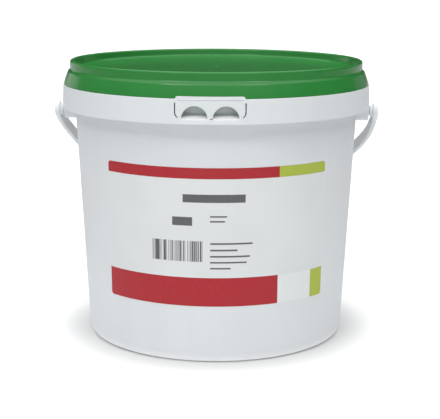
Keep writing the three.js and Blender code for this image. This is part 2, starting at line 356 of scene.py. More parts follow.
# a closed curved plate from an outer and an inner grid of points, with places for a flat map
def gridSolid(name, outerGrid, innerGrid, flatGrid=None):
    build = bmesh.new()
    outer = [[build.verts.new(point) for point in row] for row in outerGrid]
    inner = [[build.verts.new(point) for point in row] for row in innerGrid]
    for j in range(len(outer) - 1):
        for k in range(len(outer[0]) - 1):
            build.faces.new((outer[j][k], outer[j][k + 1], outer[j + 1][k + 1], outer[j + 1][k]))
            build.faces.new((inner[j][k], inner[j + 1][k], inner[j + 1][k + 1], inner[j][k + 1]))
        build.faces.new((outer[j][0], outer[j + 1][0], inner[j + 1][0], inner[j][0]))
        build.faces.new((outer[j][-1], inner[j][-1], inner[j + 1][-1], outer[j + 1][-1]))
    for k in range(len(outer[0]) - 1):
        build.faces.new((outer[0][k], inner[0][k], inner[0][k + 1], outer[0][k + 1]))
        build.faces.new((outer[-1][k], outer[-1][k + 1], inner[-1][k + 1], inner[-1][k]))
    if flatGrid:
        layer = build.loops.layers.uv.new("flat")
        places = {}
        for grid in (outer, inner):
            for row, flatRow in zip(grid, flatGrid):
                places.update(zip(row, flatRow))
        for face in build.faces:
            for loop in face.loops:
                loop[layer].uv = places[loop.vert]
    return finishedObject(name, build)


def smoothed(mesh):
    mesh.shade_smooth()
    mesh.set_sharp_from_angle(angle=math.radians(cornerSet["sharpAngle"]))


def finishedObject(name, build):
    mesh = bpy.data.meshes.new(name)
    build.to_mesh(mesh)
    build.free()
    smoothed(mesh)
    return newObject(name, mesh)


# the tools are joined to the base or cut from it, and used up
def combined(base, tools, operation):
    for tool in tools:
        step = base.modifiers.new("join", "BOOLEAN")
        step.operation = operation
        step.solver = "EXACT"
        step.object = tool
        mesh = bpy.data.meshes.new_from_object(base.evaluated_get(bpy.context.evaluated_depsgraph_get()))
        base.modifiers.remove(step)
        base.data = mesh
        bpy.data.objects.remove(tool)
    smoothed(base.data)
    return base


# an outline grown outwards by a distance, for rounded mouths and edges
def grown(outline, distance):
    count = len(outline)
    moved = []
    for index, here in enumerate(outline):
        before = (here - outline[index - 1]).normalized()
        after = (outline[(index + 1) % count] - here).normalized()
        normal = Vector((before.y + after.y, -before.x - after.x))
        normal = normal.normalized() / max(0.5, math.cos(before.angle(after, 0) / 2))
        moved.append(here + normal * distance)
    return moved


# Pail

wallSet = {
    "baseRadius": 95.1 * mm,
    "topRadius": 103.8 * mm,
    "wall": 1.5 * mm,
    "baseRound": 8 * mm,
    "footInner": 83.5 * mm,
    "footStep": 2 * mm,
    "footLift": 1.8 * mm,
    "bottom": 1.8 * mm,
    "gateRadius": 1.6 * mm,
    "gateDepth": 0.5 * mm,
}

collarSet = {
    "low": 168.8 * mm,
    "top": 185.5 * mm,
    "topRadius": 112.3 * mm,
    "wall": 1.15 * mm,
    "edge": 0.45 * mm,
    "shelf": 170.6 * mm,
    "shelfTop": 172.1 * mm,
    "floorRise": 1.8 * mm,
    "floorRadius": 108.6 * mm,
    "neckRadius": 105.6 * mm,
    "beadRadius": 107.8 * mm,
    "beadHeight": 190 * mm,
    "beadUnder": 2.8 * mm,  # how far below the bead the neck starts to widen
    "beadOver": 4 * mm,  # how far above it the rim's own radius is reached
    "rimRadius": 106 * mm,
    "rimWall": 1 * mm,
    "rimLow": 195 * mm,
    "throatRadius": 103.9 * mm,
    "throatHeight": 187 * mm,
}

tabSet = {
    "half": 23.6 * mm,
    "top": 187.2 * mm,
    "corner": 2 * mm,
    "inset": 0.2 * mm,  # how far the lip stands back from the collar's face
    "lipWall": 0.85 * mm,
    "lipRound": 0.3 * mm,
    "lipSunk": 1.5 * mm,  # how far the lip reaches down into the collar
    "slotWidth": 1.35 * mm,
    "slotTop": 183.2 * mm,
    "slotBend": 177 * mm,
    "slotEnd": 173.2 * mm,
    "slotTurn": 2.3 * mm,
    "slotPull": 1.4 * mm,
    "fingerRadius": 8.9 * mm,
    "fingerPlace": 10.5 * mm,
    "fingerLow": 172.05 * mm,
    "fingerRise": 0.45,  # slope of the floor under the finger holes
    "fingerCorner": 1.6 * mm,
    "nickPlace": 0.9 * mm,
    "nickHeight": 172.5 * mm,
    "nickHalf": 0.9 * mm,
    "nickTall": 0.38 * mm,
    "cutDepth": 3.4 * mm,  # how far the cutters reach in from the collar's face
    "cutProud": 2 * mm,
    "cutStep": 0.9 * mm,
    "mouth": 0.32 * mm,  # round of the cut edges
    "notchGap": 0.1 * mm,
    "notchSunk": 0.6 * mm,
    "crease": 184.65 * mm,  # the line along which the tab's lip bends back
    "creaseHalf": 22.9 * mm,
    "creaseTall": 1.0 * mm,
    "creaseDepth": 0.6 * mm,
    "creaseFade": 1 * mm,
    "creaseClear": 0.08 * mm,  # how far its cutter starts outside the collar's face
}

bossSet = {
    "radius": 6.6 * mm,
    "face": 112.6 * mm,
    "flare": 1.5 * mm,
    "edge": 0.5 * mm,
    "sunk": 0.6 * mm,  # how far it reaches up into the shelf
    "cutStep": 1 * mm,
    "socketRadius": 2.75 * mm,
    "socketEnd": 104.9 * mm,
    "mouth": 0.35 * mm,
}


def wallRadius(height):
    lean = (wallSet["topRadius"] - wallSet["baseRadius"]) / collarSet["low"]
    return wallSet["baseRadius"] + lean * height


def insideRadius(height):
    return wallRadius(height) - wallSet["wall"]


# closer together in front, where the tab is
def pailAngles():
    fine, coarse, fineSteps, coarseSteps = 16.0, 344.0, 100, 200
    angles = [-fine + 2 * fine * step / fineSteps for step in range(fineSteps)]
    angles += [fine + (coarse - fine) * step / coarseSteps for step in range(coarseSteps)]
    return [math.radians(angle) for angle in angles]


def pailProfile():
    w, c = wallSet, collarSet
    lip = collarRadius - c["wall"]
    topLip = c["topRadius"] - c["wall"]
    floor = w["footLift"] + w["bottom"]
    return softened([
        (0, w["footLift"] - w["gateDepth"], 0),
        (w["gateRadius"], w["footLift"] - w["gateDepth"], 0.3 * mm),
        (w["gateRadius"] * 1.5, w["footLift"], 0.4 * mm),
        (w["footInner"] - w["footStep"], w["footLift"], 1 * mm),
        (w["footInner"], 0, 0.6 * mm),
        (w["baseRadius"], 0, w["baseRound"]),
        (wallRadius(c["shelf"]), c["shelf"], 1.4 * mm),
        (lip, c["shelf"], 0.5 * mm),
        (lip, c["low"], c["edge"]),
        (collarRadius, c["low"], c["edge"]),
        (c["topRadius"], c["top"], c["edge"]),
        (topLip, c["top"], c["edge"]),
        (lip - 0.3 * mm, c["shelfTop"] + 0.42 * mm, 0.4 * mm),
        (c["floorRadius"], c["shelfTop"] + c["floorRise"], 0.8 * mm),
        (c["neckRadius"] + 0.1 * mm, c["shelfTop"] + c["floorRise"] + 1.2 * mm, 1.3 * mm),
        (c["neckRadius"], c["beadHeight"] - c["beadUnder"], 0.6 * mm),
        (c["beadRadius"], c["beadHeight"] - 1 * mm, 0.6 * mm),
        (c["beadRadius"], c["beadHeight"] + 0.6 * mm, 0.6 * mm),
        (c["rimRadius"], c["beadHeight"] + c["beadOver"], 1 * mm),
        (c["rimRadius"], tubHigh.z, c["edge"]),
        (c["rimRadius"] - c["rimWall"], tubHigh.z, c["edge"]),
        (c["rimRadius"] - c["rimWall"], c["rimLow"], 2 * mm),
        (c["throatRadius"], c["throatHeight"], 3 * mm),
        (insideRadius(c["shelf"]), c["shelf"], 3 * mm),
        (insideRadius(floor), floor, 6 * mm),
        (0, floor, 0),
    ])


# a place on the collar as if it were laid flat: u runs round the pail, v up, w is the radius
def onCollar(u, v, w):
    angle = u / collarRadius
    return (w * math.sin(angle), -w * math.cos(angle), v)


def arcPoints(centre, radius, start, stop, steps):
    points = []
    for step in range(steps + 1):
        angle = math.radians(start + (stop - start) * step / steps)
        points.append(centre + Vector((math.cos(angle), math.sin(angle))) * radius)
    return points


def finelyStepped(outline, longest):
    points = []
    for here, there in zip(outline, outline[1:] + outline[:1]):
        pieces = max(1, math.ceil((there - here).length / longest))
        points += [here.lerp(there, step / pieces) for step in range(pieces)]
    return points


# rows and columns over the tab's lip: rounded upper corners, closer together towards the edges
def lipPlaces(low, gap, rows=26, columns=96):
    t = tabSet
    half, top, corner = t["half"] + gap, t["top"] + gap, t["corner"] + gap
    grid = []
    for j in range(rows + 1):
        v = top - (top - low) * (1 - j / rows) ** 2
        inset = min(top - v, corner)
        reach = roundedReach(half, corner, inset)
        shares = [2 * k / columns - 1 for k in range(columns + 1)]
        grid.append([(reach * (1.5 * share - 0.5 * share ** 3), v) for share in shares])
    return grid


# how far the lip's face falls back beside its side and top edges
def lipFall(u, v):
    t = tabSet
    side = abs(u) - (t["half"] - t["corner"])
    above = v - (t["top"] - t["corner"])
    if side > 0 and above > 0:
        depth = t["corner"] - math.hypot(side, above)
    else:
        depth = min(t["half"] - abs(u), t["top"] - v)
    r = t["lipRound"]
    return r - math.sqrt(max(0.0, r ** 2 - (r - max(0.0, min(depth, r))) ** 2))


def tabLip():
    t, c = tabSet, collarSet
    face = c["topRadius"] - t["inset"]
    places = lipPlaces(c["top"] - t["lipSunk"], 0)
    outer = [[onCollar(u, v, face - lipFall(u, v)) for u, v in row] for row in places]
    inner = [[onCollar(u, v, face - t["lipWall"]) for u, v in row] for row in places]
    return gridSolid("tabLip", outer, inner)


# the notch in the lid's flange that the tab's lip stands in
def lipNotch():
    t, c = tabSet, collarSet
    places = lipPlaces(c["top"] - t["notchSunk"], t["notchGap"])
    outer = [[onCollar(u, v, collarRadius + 2 * mm) for u, v in row] for row in places]
    inner = [[onCollar(u, v, lidSet["skirtRadius"]) for u, v in row] for row in places]
    return gridSolid("lipNotch", outer, inner)


# radius of the collar's face, which leans in a little towards its top
def collarFace(height):
    c = collarSet
    return collarRadius - (collarRadius - c["topRadius"]) * (height - c["low"]) / (c["top"] - c["low"])


# the shallow groove across the tab, fading out at both ends
def tabCrease(rows=10, columns=120):
    t = tabSet
    clear = t["creaseClear"]
    across = [t["creaseHalf"] * (2 * k / columns - 1) for k in range(columns + 1)]
    fades = [min(1.0, (t["creaseHalf"] - abs(u)) / t["creaseFade"]) for u in across]
    outer, inner = [], []
    for j in range(rows + 1):
        share = 2 * j / rows - 1
        v = t["crease"] + share * t["creaseTall"] / 2
        depth = (t["creaseDepth"] + clear) * (1 - share ** 2)
        outer.append([onCollar(u, v, collarFace(v) + t["creaseDepth"]) for u in across])
        inner.append([onCollar(u, v, collarFace(v) + clear - depth * fade) for u, fade in zip(across, fades)])
    return gridSolid("tabCrease", outer, inner)


# a cutter through the collar's wall whose mouth opens out, so that the cut edge is round
def collarCutter(name, outline, rise=0.0):
    t = tabSet
    m = t["mouth"]
    low = min(p.y for p in outline)

    # the outline's lower edge climbs inwards, which gives the sloped floor
    def lifted(point, depth):
        return point.y + rise * max(0.0, -depth) * max(0.0, 1 - (point.y - low) / (2 * mm))

    # depth from the collar's face, and how far the outline is grown there
    layers = [
        (-t["cutDepth"], 0),
        (-m, 0),
        (-0.45 * m, 0.12 * m),
        (-0.12 * m, 0.45 * m),
        (0.05 * m, 1.0 * m),
        (t["cutProud"], 1.6 * m),
    ]
    loops = []
    for depth, grow in layers:
        places = grown(outline, grow)
        loops.append([onCollar(p.x, lifted(p, depth), collarFace(p.y) + depth) for p in places])
    return finishedObject(name, lofted(loops))


def strokeOutline(path, width):
    left, right = [], []
    for index, here in enumerate(path):
        along = (path[min(index + 1, len(path) - 1)] - path[max(index - 1, 0)]).normalized()
        across = Vector((along.y, -along.x)) * width / 2
        right.append(here + across)
        left.append(here - across)
    return right + left[::-1]


def slotOutline(side):
    t = tabSet
    x = side * t["half"]
    start = Vector((x, t["slotBend"]))
    stop = Vector((side * (t["half"] - t["slotTurn"]), t["slotEnd"]))
    bend = Vector((x, t["slotEnd"] + t["slotPull"]))
    path = [Vector((x, t["slotTop"])), Vector((x, (t["slotTop"] + t["slotBend"]) / 2))]
    for step in range(9):
        s = step / 8
        path.append(start * (1 - s) ** 2 + bend * 2 * s * (1 - s) + stop * s ** 2)
    outline = strokeOutline(path, t["slotWidth"])
    return outline[::-1]


# a half-moon with small rounds at its two lower corners
def fingerOutline(side):
    t = tabSet
    r, k = t["fingerRadius"], t["fingerCorner"]
    inset, small = 0.62 * k, 0.5 * k
    middle = Vector((side * t["fingerPlace"], t["fingerLow"]))
    outline = [middle + Vector((k - r, 0)), middle + Vector((r - k, 0))]
    outline += arcPoints(middle + Vector((r - inset, small)), small, -80, 10, 4)
    outline += arcPoints(middle, r, 14, 166, 22)
    outline += arcPoints(middle + Vector((inset - r, small)), small, 170, 260, 4)
    return finelyStepped(outline, t["cutStep"])


def nickOutline():
    t = tabSet
    half, tall = t["nickHalf"], t["nickTall"]
    middle = Vector((t["nickPlace"], t["nickHeight"]))
    return [middle + Vector((math.cos(a) * half, math.sin(a) * tall)) for a in evenAngles(14)]


def boss(side):
    b = bossSet
    e, face = b["edge"], b["face"]
    top = collarSet["shelf"] + b["sunk"]
    spread = b["radius"] + b["flare"]
    outline = [Vector((spread, top)), Vector((-spread, top))]
    outline += arcPoints(Vector((0, pivotHeight)), b["radius"], 180, 360, 24)
    outline = finelyStepped(outline, b["cutStep"])
    start = wallSet["topRadius"] - wallSet["wall"] * 0.6
    layers = [
        (start, 0),
        (face - e, 0),
        (face - 0.4 * e, -0.12 * e),
        (face - 0.1 * e, -0.4 * e),
        (face, -e),
    ]
    loops = [[(side * w, p.x, p.y) for p in grown(outline, grow)] for w, grow in layers]
    return finishedObject("boss", lofted(loops))


def socket(side):
    b = bossSet
    m, radius, face = b["mouth"], b["socketRadius"], b["face"]
    layers = [
        (b["socketEnd"], radius),
        (face - m, radius),
        (face - 0.3 * m, radius + 0.3 * m),
        (face + 0.1 * m, radius + m),
        (face + 2 * mm, radius + 1.4 * m),
    ]
    loops = []
    for w, r in layers:
        loops.append([(side * w, r * math.cos(a), pivotHeight + r * math.sin(a)) for a in evenAngles(48)])
    return finishedObject("socket", lofted(loops))


def buildPail():
    pail = finishedObject("pailBody", turned(pailProfile(), pailAngles()))
    combined(pail, [tabLip(), boss(1), boss(-1)], "UNION")
    cutters = [collarCutter("slot", slotOutline(side)) for side in (-1, 1)]
    cutters += [collarCutter("finger", fingerOutline(side), tabSet["fingerRise"]) for side in (-1, 1)]
    cutters += [collarCutter("nick", nickOutline()), tabCrease(), socket(1), socket(-1)]
    return combined(pail, cutters, "DIFFERENCE")


pailBody = buildPail()
print("pail body:", len(pailBody.data.polygons), "faces")


# Lid

lidSet = {
    "ringRadius": 107.2 * mm,
    "ringInner": 103.5 * mm,
    "channelInner": 104.7 * mm,
    "skin": 0.9 * mm,
    "panel": 197.2 * mm,
    "panelRadius": 102.2 * mm,
    "wall": 1.4 * mm,
    "plug": 102 * mm,
    "plugLow": 187 * mm,
    "plugTip": 103.2 * mm,
    "plugBend": (103.45 * mm, 188.5 * mm),
    "channelLow": 196 * mm,
    "channelTop": 201.5 * mm,
    "beadRoom": [(108.4 * mm, 192.8 * mm), (108.9 * mm, 189.6 * mm)],  # clears the pail's bead
    "hookRadius": 107.3 * mm,
    "hookHigh": 187 * mm,
    "hookLow": 186 * mm,
    "skirtInner": 109.7 * mm,
    "skirtTop": 184.6 * mm,
    "skirtRadius": 110.85 * mm,
    "flangeRadius": 112 * mm,
    "flangeLow": 185.6 * mm,
    "flangeLean": 1.2,
    "shoulderRadius": 109.1 * mm,
    "shoulderHeight": 194.2 * mm,
    "facetIn": 0.34 * mm,  # the narrow facet at the shoulder, which catches the light
    "facetUp": 0.63 * mm,
    "slopeRadius": 107.52 * mm,
    "slopeTop": 196.2 * mm,
    "pipRadius": 1.2 * mm,  # the small pip in the middle of the panel
    "pipFoot": 1.9 * mm,
    "pipHeight": 0.25 * mm,
    "segments": 300,
}


# the flange's face leans in more and more towards the shoulder
def flangeFace(steps=6):
    s = lidSet
    corners = []
    for step in range(1, steps):
        t = step / steps
        radius = s["flangeRadius"] + (s["shoulderRadius"] - s["flangeRadius"]) * t ** s["flangeLean"]
        corners.append((radius, s["flangeLow"] + (s["shoulderHeight"] - s["flangeLow"]) * t, 0.6 * mm))
    return corners


def lidProfile():
    s = lidSet
    low = lidLow.z
    return softened([
        (0, s["panel"] - s["wall"], 0),
        (s["plug"], s["panel"] - s["wall"], 0.8 * mm),
        (s["plug"], s["plugLow"], 0.4 * mm),
        (s["plugTip"], s["plugLow"], 0.4 * mm),
        (*s["plugBend"], 0.5 * mm),
        (s["channelInner"], s["channelLow"], 0.8 * mm),
        (s["channelInner"], s["channelTop"], 0.2 * mm),
        (s["ringRadius"] - s["skin"], s["channelTop"], 0.2 * mm),
        (s["ringRadius"] - s["skin"], 197 * mm, 0.8 * mm),
        (*s["beadRoom"][0], 0.8 * mm),
        (*s["beadRoom"][1], 0.6 * mm),
        (s["hookRadius"], s["hookHigh"], 0.4 * mm),
        (s["hookRadius"], s["hookLow"], 0.4 * mm),
        (s["skirtInner"], s["skirtTop"], 0.4 * mm),
        (s["skirtInner"], low, 0.35 * mm),
        (s["skirtRadius"], low, 0.35 * mm),
        (s["skirtRadius"], s["flangeLow"], 0.2 * mm),
        (s["flangeRadius"], s["flangeLow"], 0.25 * mm),
        *flangeFace(),
        (s["shoulderRadius"], s["shoulderHeight"], 0.1 * mm),
        (s["shoulderRadius"] - s["facetIn"], s["shoulderHeight"] + s["facetUp"], 0.1 * mm),
        (s["slopeRadius"], s["slopeTop"], 0.1 * mm),
        (s["ringRadius"], s["slopeTop"] + 0.6 * mm, 0.15 * mm),
        (s["ringRadius"], lidHigh.z, 1.5 * mm),
        (s["ringInner"], lidHigh.z, 1.2 * mm),
        (s["panelRadius"], s["panel"], 1.5 * mm),
        (50 * mm, s["panel"], 1 * mm),
        (s["pipFoot"], s["panel"], 0.5 * mm),
        (s["pipRadius"], s["panel"] + s["pipHeight"], 0.3 * mm),
        (0, s["panel"] + s["pipHeight"], 0),
    ])


lidPiece = finishedObject("lidPiece", turned(lidProfile(), evenAngles(lidSet["segments"])))
combined(lidPiece, [lipNotch()], "DIFFERENCE")
print("lid:", len(lidPiece.data.polygons), "faces")


# Handle

bailSet = {
    "half": 117.8 * mm,
    "depth": 130.2 * mm,
    "hang": 36.0,  # degrees that it hangs below level behind the pail
    "strapThick": 3.6 * mm,
    "strapWidth": 9.6 * mm,
    "strapRound": 1.3 * mm,
    "sway": 1.2 * mm,  # the loose handle hangs a little to the right
    "swayStart": 40 * mm,
    "gripHalf": 21.0,  # degrees either side of the middle
    "gripBlend": 5.0,
    "gripThick": 6.6 * mm,
    "gripWidth": 11 * mm,
    "eyeRadius": 6 * mm,
    "eyeBlend": 14 * mm,
    "eyeWidth": 1.9,  # width of the strap's ends, in radii of the eye
    "dishRadius": 2.2 * mm,
    "dishFloor": 1.7 * mm,
    "dishDepth": 0.35 * mm,
    "pinRadius": 2.35 * mm,
    "pinEnd": 105.4 * mm,
    "washer": 3.95 * mm,
    "washerFace": 113.6 * mm,
    "steps": 300,
    "ribCount": 25,
    "ribRadius": 0.5 * mm,
    "ribSink": 0.35,  # share of its radius that a rib is sunk into the grip
    "ribShort": 1.1 * mm,  # how far a rib's ends stay inside the grip's edges
    "ribSpan": 17.5,  # degrees either side of the middle of the grip
    "ribSteps": 60,
}

bailDown = math.radians(bailSet["hang"])
bailAlong = Vector((0, math.cos(bailDown), -math.sin(bailDown)))
bailUp = Vector((0, math.sin(bailDown), math.cos(bailDown)))


# a point of the handle: across the pail, along the hanging plane, off the plane
def onBail(across, along, off):
    return Vector((across, 0, pivotHeight)) + bailAlong * along + bailUp * off


def smoothly(value):
    value = max(0.0, min(1.0, value))
    return value * value * (3 - 2 * value)


# the handle's middle line at an angle along it, and which way is outwards there
def bailPoint(angle):
    b = bailSet
    centre = Vector((b["half"] * math.cos(angle), b["depth"] * math.sin(angle)))
    outward = Vector((b["depth"] * math.cos(angle), b["half"] * math.sin(angle))).normalized()
    centre.x += b["sway"] * smoothly(centre.y / b["swayStart"])
    return centre, outward


def strapSection(width, thick, shift):
    r = min(bailSet["strapRound"], thick * 0.45)
    corners = []
    for sx, sy, start in ((1, 1, 0), (-1, 1, 90), (-1, -1, 180), (1, -1, 270)):
        centre = Vector((sx * (width / 2 - r), sy * (thick / 2 - r) + shift))
        corners += arcPoints(centre, r, start, start + 90, 5)
    return corners


def strapLoops():
    b = bailSet
    loops = []
    for step in range(b["steps"] + 1):
        degrees = 180 * step / b["steps"]
        centre, outward = bailPoint(math.radians(degrees))
        grip = smoothly((b["gripHalf"] + b["gripBlend"] - abs(degrees - 90)) / b["gripBlend"])
        eye = smoothly(1 - centre.y / b["eyeBlend"])
        width = b["strapWidth"] + (b["gripWidth"] - b["strapWidth"]) * grip
        width += (b["eyeWidth"] * b["eyeRadius"] - b["strapWidth"]) * eye
        thick = b["strapThick"] + (b["gripThick"] - b["strapThick"]) * grip
        shift = (thick - b["strapThick"]) / 2
        loop = []
        for p in strapSection(width, thick, shift):
            flat = centre + outward * p.y
            loop.append(onBail(flat.x, flat.y, p.x))
        loops.append(loop)
    return loops


# the round eye with its washer and pin, turned about the pivot line
def eye(side):
    b = bailSet
    inner = b["half"] - b["strapThick"] / 2
    outer = b["half"] + b["strapThick"] / 2
    profile = softened([
        (0, b["pinEnd"], 0),
        (b["pinRadius"], b["pinEnd"], 0.7 * mm),
        (b["pinRadius"], b["washerFace"], 0.2 * mm),
        (b["washer"], b["washerFace"], 0.4 * mm),
        (b["washer"] + 0.4 * mm, inner, 0.3 * mm),
        (b["eyeRadius"], inner, 0.5 * mm),
        (b["eyeRadius"], outer, 0.8 * mm),
        (b["dishRadius"], outer, 0.4 * mm),
        (b["dishFloor"], outer - b["dishDepth"], 0.3 * mm),
        (0, outer - b["dishDepth"], 0),
    ], steps=4)
    build = turned(profile, evenAngles(64))
    for vert in build.verts:
        x, y, z = vert.co
        vert.co = (side * z, x, pivotHeight + y)
    bmesh.ops.recalc_face_normals(build, faces=build.faces)
    return finishedObject("eye", build)


def buildHandle():
    strap = finishedObject("handlePiece", lofted(strapLoops()))
    return combined(strap, [eye(1), eye(-1)], "UNION")


handlePiece = buildHandle()
print("handle:", len(handlePiece.data.polygons), "faces")


# ribs across the outer face of the grip, set along a curve by a node tree
def ribTree(material):
    tree = bpy.data.node_groups.new("gripRibTree", "GeometryNodeTree")
    for name, kind, way in (
        ("Geometry", "NodeSocketGeometry", "INPUT"),
        ("Count", "NodeSocketInt", "INPUT"),
        ("Half Span", "NodeSocketVector", "INPUT"),
        ("Radius", "NodeSocketFloat", "INPUT"),
        ("Geometry", "NodeSocketGeometry", "OUTPUT"),
    ):
        tree.interface.new_socket(name, in_out=way, socket_type=kind)

    def node(kind, settings=None, links=None):
        made = tree.nodes.new(kind)
        for key, value in (settings or {}).items():
            setattr(made, key, value)
        for key, value in (links or {}).items():
            if isinstance(value, bpy.types.NodeSocket):
                tree.links.new(value, made.inputs[key])
            else:
                made.inputs[key].default_value = value
        return made

    given = node("NodeGroupInput").outputs
    spaced = node("GeometryNodeResampleCurve", {}, {"Curve": given["Geometry"], "Count": given["Count"]})
    halfSpan = given["Half Span"]
    back = node("ShaderNodeVectorMath", {"operation": "SCALE"}, {0: halfSpan, "Scale": -1.0})
    line = node("GeometryNodeCurvePrimitiveLine", {}, {"Start": back.outputs[0], "End": halfSpan})
    fine = node("GeometryNodeResampleCurve", {}, {"Curve": line.outputs[0], "Count": 13})

    # each rib's radius falls away at its two ends
    share = node("GeometryNodeSplineParameter").outputs["Factor"]
    centred = node("ShaderNodeMath", {"operation": "MULTIPLY_ADD"}, {0: share, 1: 2.0, 2: -1.0})
    power = node("ShaderNodeMath", {"operation": "POWER"}, {0: centred.outputs[0], 1: 8.0})
    taper = node("ShaderNodeMath", {"operation": "SUBTRACT"}, {0: 1.02, 1: power.outputs[0]})
    ring = node("GeometryNodeCurvePrimitiveCircle", {}, {"Resolution": 12, "Radius": given["Radius"]})
    bar = node("GeometryNodeCurveToMesh", {}, {
        "Curve": fine.outputs[0],
        "Profile Curve": ring.outputs[0],
        "Scale": taper.outputs[0],
        "Fill Caps": True,
    })
    rows = {"Points": spaced.outputs[0], "Instance": bar.outputs[0]}
    placed = node("GeometryNodeInstanceOnPoints", {}, rows)
    real = node("GeometryNodeRealizeInstances", {}, {0: placed.outputs[0]})
    smooth = node("GeometryNodeSetShadeSmooth", {}, {0: real.outputs[0]})
    coloured = node("GeometryNodeSetMaterial", {}, {0: smooth.outputs[0], "Material": material})
    node("NodeGroupOutput", {}, {0: coloured.outputs[0]})
    return tree


def buildRibs(material):
    b = bailSet
    curve = bpy.data.curves.new("gripLine", "CURVE")
    curve.dimensions = "3D"
    line = curve.splines.new("POLY")
    steps = b["ribSteps"]
    line.points.add(steps)
    for step in range(steps + 1):
        centre, outward = bailPoint(math.radians(90 + b["ribSpan"] * (2 * step / steps - 1)))
        flat = centre + outward * (b["gripThick"] - b["strapThick"] / 2 - b["ribSink"] * b["ribRadius"])
        line.points[step].co = (*onBail(flat.x, flat.y, 0), 1)
    carrier = newObject("gripRibs", curve)
    tree = ribTree(material)
    step = carrier.modifiers.new("ribs", "NODES")
    step.node_group = tree
    sockets = {item.name: item.identifier for item in tree.interface.items_tree if item.in_out == "INPUT"}
    step[sockets["Count"]] = b["ribCount"]
    step[sockets["Half Span"]] = list(bailUp * (b["gripWidth"] / 2 - b["ribShort"]))
    step[sockets["Radius"]] = b["ribRadius"]
    shaped = carrier.evaluated_get(bpy.context.evaluated_depsgraph_get())
    mesh = bpy.data.meshes.new_from_object(shaped)
    bpy.data.objects.remove(carrier)
    return newObject("gripRibs", mesh)


# Labels

labelSet = {
    "turn": 2.5,  # degrees from the tab to the labels' middle
    "half": 84 * mm,
    "low": 41.5 * mm,
    "high": 138.5 * mm,
    "corner": 2.2 * mm,
    "lift": 0.05 * mm,
    "thick": 0.12 * mm,
}

coverSet = {
    "turn": labelSet["turn"],
    "half": 83.2 * mm,
    "low": 62 * mm,
    "high": 131 * mm,
    "corner": 0.5 * mm,
    "lift": 0.2 * mm,
    "thick": 0.16 * mm,
}


# a closed curved sheet on the wall, with its flat size mapped from 0 to 1 in both ways
def wallSheet(name, sizes, columns=132):
    half, low, high, corner = sizes["half"], sizes["low"], sizes["high"], sizes["corner"]
    cornerRises = [corner * (1 - math.cos(math.radians(15 * k))) for k in range(6)]
    rows = max(2, round((high - low - 2 * corner) / (3 * mm)))
    heights = [low + rise for rise in cornerRises]
    heights += [low + corner + (high - low - 2 * corner) * k / rows for k in range(rows + 1)]
    heights += [high - rise for rise in reversed(cornerRises)]
    flatGrid = []
    for z in heights:
        inset = min(z - low, high - z, corner)
        reach = roundedReach(half, corner, inset)
        up = (z - low) / (high - low)
        flatGrid.append([(0.5 + reach * (k / columns - 0.5) / half, up) for k in range(columns + 1)])

    def lifted(lift):
        grid = []
        for z, row in zip(heights, flatGrid):
            r = wallRadius(z)
            angles = [math.radians(sizes["turn"]) + (along - 0.5) * 2 * half / r for along, up in row]
            grid.append([((r + lift) * math.sin(a), -(r + lift) * math.cos(a), z) for a in angles])
        return grid

    return gridSolid(name, lifted(sizes["lift"] + sizes["thick"]), lifted(sizes["lift"]), flatGrid)


baseLabel = wallSheet("baseLabel", labelSet)
coverLabel = wallSheet("coverLabel", coverSet)
print("labels:", len(baseLabel.data.polygons) + len(coverLabel.data.polygons), "faces")


# Finishes

# a cloud is a noise's scale, detail and roughness; a range is where a ramp starts and stops
pailFinish = {
    "white": (0.730, 0.762, 0.786, 1),
    "shade": (0.706, 0.739, 0.765, 1),
    "slowCloud": (14, 2, 0.5),
    "flowCloud": (90, 3, 0.6),
    "shadeRange": (0.35, 0.68),
    "scuff": (0.60, 0.61, 0.62, 1),
    "scuffHeight": 14 * mm,
    "scuffCloud": (210, 4, 0.7),
    "scuffRange": (0.56, 0.72),
    "scuffShare": 0.35,
    "gloss": 0.34,
    "glossCloud": (55, 3, 0.6),
    "glossSwing": 0.10,
    "skin": 0.35,
    "glow": (0.93, 0.95, 0.96, 1),  # painted light: a paler colour for light through the thin wall, at the finger holes and the foot
    "glowFoot": (1 * mm, 7 * mm),
    "glowShare": 0.8,
    "depth": (0.60, 0.68, 0.66, 1),  # painted shade with a green cast from the lid, on the neck behind the finger holes
    "neckReach": 106.3 * mm,
}

lidFinish = {
    "green": (0.030, 0.218, 0.045, 1),
    "deep": (0.027, 0.204, 0.041, 1),
    "slowCloud": (22, 3, 0.55),
    "shadeRange": (0.3, 0.7),
    "rubCloud": (130, 4, 0.75),
    "rubRange": (0.62, 0.78),
    "rubShare": 0.03,
    "gloss": 0.19,
    "glossCloud": (60, 3, 0.6),
    "glossSwing": 0.04,
    "shine": 0.28,
    "skin": 0.03,
}

handleFinish = {
    "white": (0.84, 0.855, 0.865, 1),
    "shade": (0.80, 0.815, 0.825, 1),
    "streakCloud": (120, 3, 0.6),
    "shadeRange": (0.3, 0.72),
    "gloss": 0.38,
    "glossCloud": (80, 3, 0.6),
    "glossSwing": 0.12,
    "skin": 0.4,
}

printFinish = {
    "red": (0.415, 0.020, 0.028, 1),
    "lime": (0.42, 0.505, 0.066, 1),
    "white": (0.770, 0.795, 0.805, 1),
    "split": 43.5 * mm,  # where the upper stripe changes from red to lime
    "bareStart": 43.4 * mm,
    "bareStop": 71.9 * mm,
    "bandTop": 62.5 * mm,
    "stripeLow": 131.0 * mm,
    "speckCloud": (700, 2, 0.6),
    "speckRange": (0.45, 0.75),
    "speckShare": 0.012,
    "gloss": 0.42,
    "glossCloud": (90, 2, 0.5),
    "glossSwing": 0.10,
    "shine": 0.32,
    "fibreCloud": (1500, 3, 0.6),
    "skin": 0.25,
    "skinDepth": 0.03 * mm,
}

